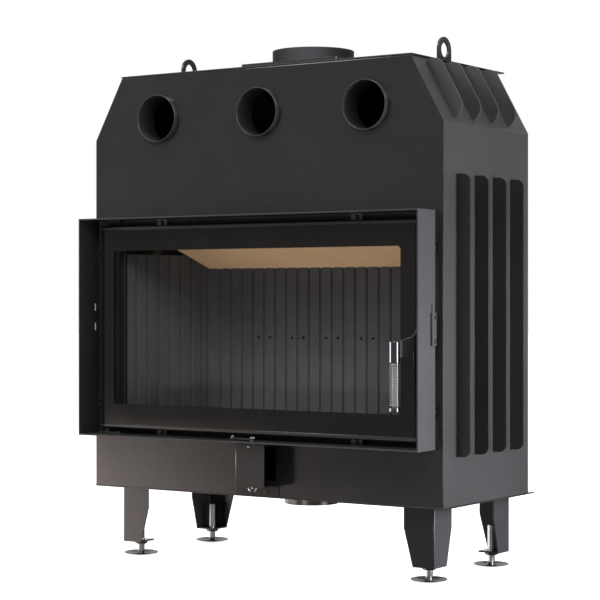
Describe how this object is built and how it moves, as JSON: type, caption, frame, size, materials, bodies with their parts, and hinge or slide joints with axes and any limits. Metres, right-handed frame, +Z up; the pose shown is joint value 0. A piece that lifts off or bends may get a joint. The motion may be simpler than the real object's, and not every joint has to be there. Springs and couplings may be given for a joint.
{
  "type": "fireplace insert",
  "caption": "Wood-burning fireplace insert: finned steel casing with hot-air outlets, a flue collar, a hinged glass door with a coil-grip handle, a lined firebox and levelling feet.",
  "frame": {"origin": "on the floor, under the middle of the overall width and depth", "axes": "+Z up, -Y towards the door side, +X to the right as seen from the front"},
  "size_m": [0.953, 0.491, 1.1254],
  "materials": {
    "casing_paint": "satin dark grey stove paint",
    "fin_paint": "matt dark grey stove paint",
    "portal_paint": "satin grey stove paint",
    "door_paint": "satin black stove paint",
    "collar_steel": "satin dark grey",
    "plated_steel": "zinc plated",
    "handle_chrome": "polished",
    "door_glass": "clear ceramic glass",
    "seal_rope": "grey glass-fibre rope",
    "firebox_steel": "matt",
    "liner_ceramic": "matt grey fireclay",
    "baffle_board": "matt tan board"
  },
  "bodies": {
    "casing": {"front_panel": "casing_paint", "side_panel_left": "casing_paint", "side_panel_right": "casing_paint", "back_panel": "casing_paint", "top_plate": "casing_paint", "bottom_plate": "casing_paint", "leg_front_left": "casing_paint", "leg_front_right": "casing_paint", "leg_rear_left": "casing_paint", "leg_rear_right": "casing_paint", "side_fins_left": "fin_paint", "side_fins_right": "fin_paint", "shoulder_fins_left": "fin_paint", "shoulder_fins_right": "fin_paint", "hot_air_collar_left": "collar_steel", "hot_air_collar_centre": "collar_steel", "hot_air_collar_right": "collar_steel", "flue_base": "collar_steel", "flue_collar": "collar_steel", "air_inlet_collar": "collar_steel", "lifting_eyes": "collar_steel", "lock_nuts": "plated_steel", "portal_spacers": "plated_steel", "screws": "plated_steel", "latch_keeper": "plated_steel", "hinge_bracket_top": "plated_steel", "hinge_bracket_bottom": "plated_steel", "throat_frame": "plated_steel", "baffle_brackets": "plated_steel", "portal_frame": "portal_paint", "air_box": "portal_paint", "firebox_body": "firebox_steel", "hearth_slab": "liner_ceramic", "liner_back": "liner_ceramic", "liner_left": "liner_ceramic", "liner_right": "liner_ceramic", "baffle": "baffle_board"},
    "door": {"door_frame": "door_paint", "door_glass": "door_glass", "glass_seal": "seal_rope", "door_gasket": "seal_rope"},
    "handle": {"handle_shaft": "plated_steel", "handle_arm": "door_paint", "latch_cam": "plated_steel", "handle_core": "handle_chrome", "handle_spring": "handle_chrome", "handle_cap": "handle_chrome"},
    "air_damper": {"damper_shaft": "plated_steel", "damper_flap": "portal_paint", "air_lever": "plated_steel", "wing_nut": "plated_steel"},
    "foot_front_left": {"foot_rod_front_left": "plated_steel", "foot_pad_front_left": "plated_steel"},
    "foot_front_right": {"foot_rod_front_right": "plated_steel", "foot_pad_front_right": "plated_steel"},
    "foot_rear_left": {"foot_rod_rear_left": "plated_steel", "foot_pad_rear_left": "plated_steel"},
    "foot_rear_right": {"foot_rod_rear_right": "plated_steel", "foot_pad_rear_right": "plated_steel"}
  },
  "joints": [
    {"name": "door_hinge", "type": "hinge", "parent": "casing", "child": "door", "pos_m": [-0.394, -0.17555, 0.512], "axis": [0, 0, -1], "range_deg": [0, 105]},
    {"name": "handle_turn", "type": "hinge", "parent": "door", "child": "handle", "pos_m": [0.405, -0.17555, 0.512], "axis": [-1, 0, 0], "range_deg": [0, 50]},
    {"name": "air_lever_turn", "type": "hinge", "parent": "casing", "child": "air_damper", "pos_m": [0.0145, -0.19855, 0.281], "axis": [0, 0, 1], "range_deg": [0, 75]},
    {"name": "foot_screw_front_left", "type": "slide", "parent": "casing", "child": "foot_front_left", "axis": [0, 0, -1], "range_m": [0, 0.045]},
    {"name": "foot_screw_front_right", "type": "slide", "parent": "casing", "child": "foot_front_right", "axis": [0, 0, -1], "range_m": [0, 0.045]},
    {"name": "foot_screw_rear_left", "type": "slide", "parent": "casing", "child": "foot_rear_left", "axis": [0, 0, -1], "range_m": [0, 0.045]},
    {"name": "foot_screw_rear_right", "type": "slide", "parent": "casing", "child": "foot_rear_right", "axis": [0, 0, -1], "range_m": [0, 0.045]}
  ]
}
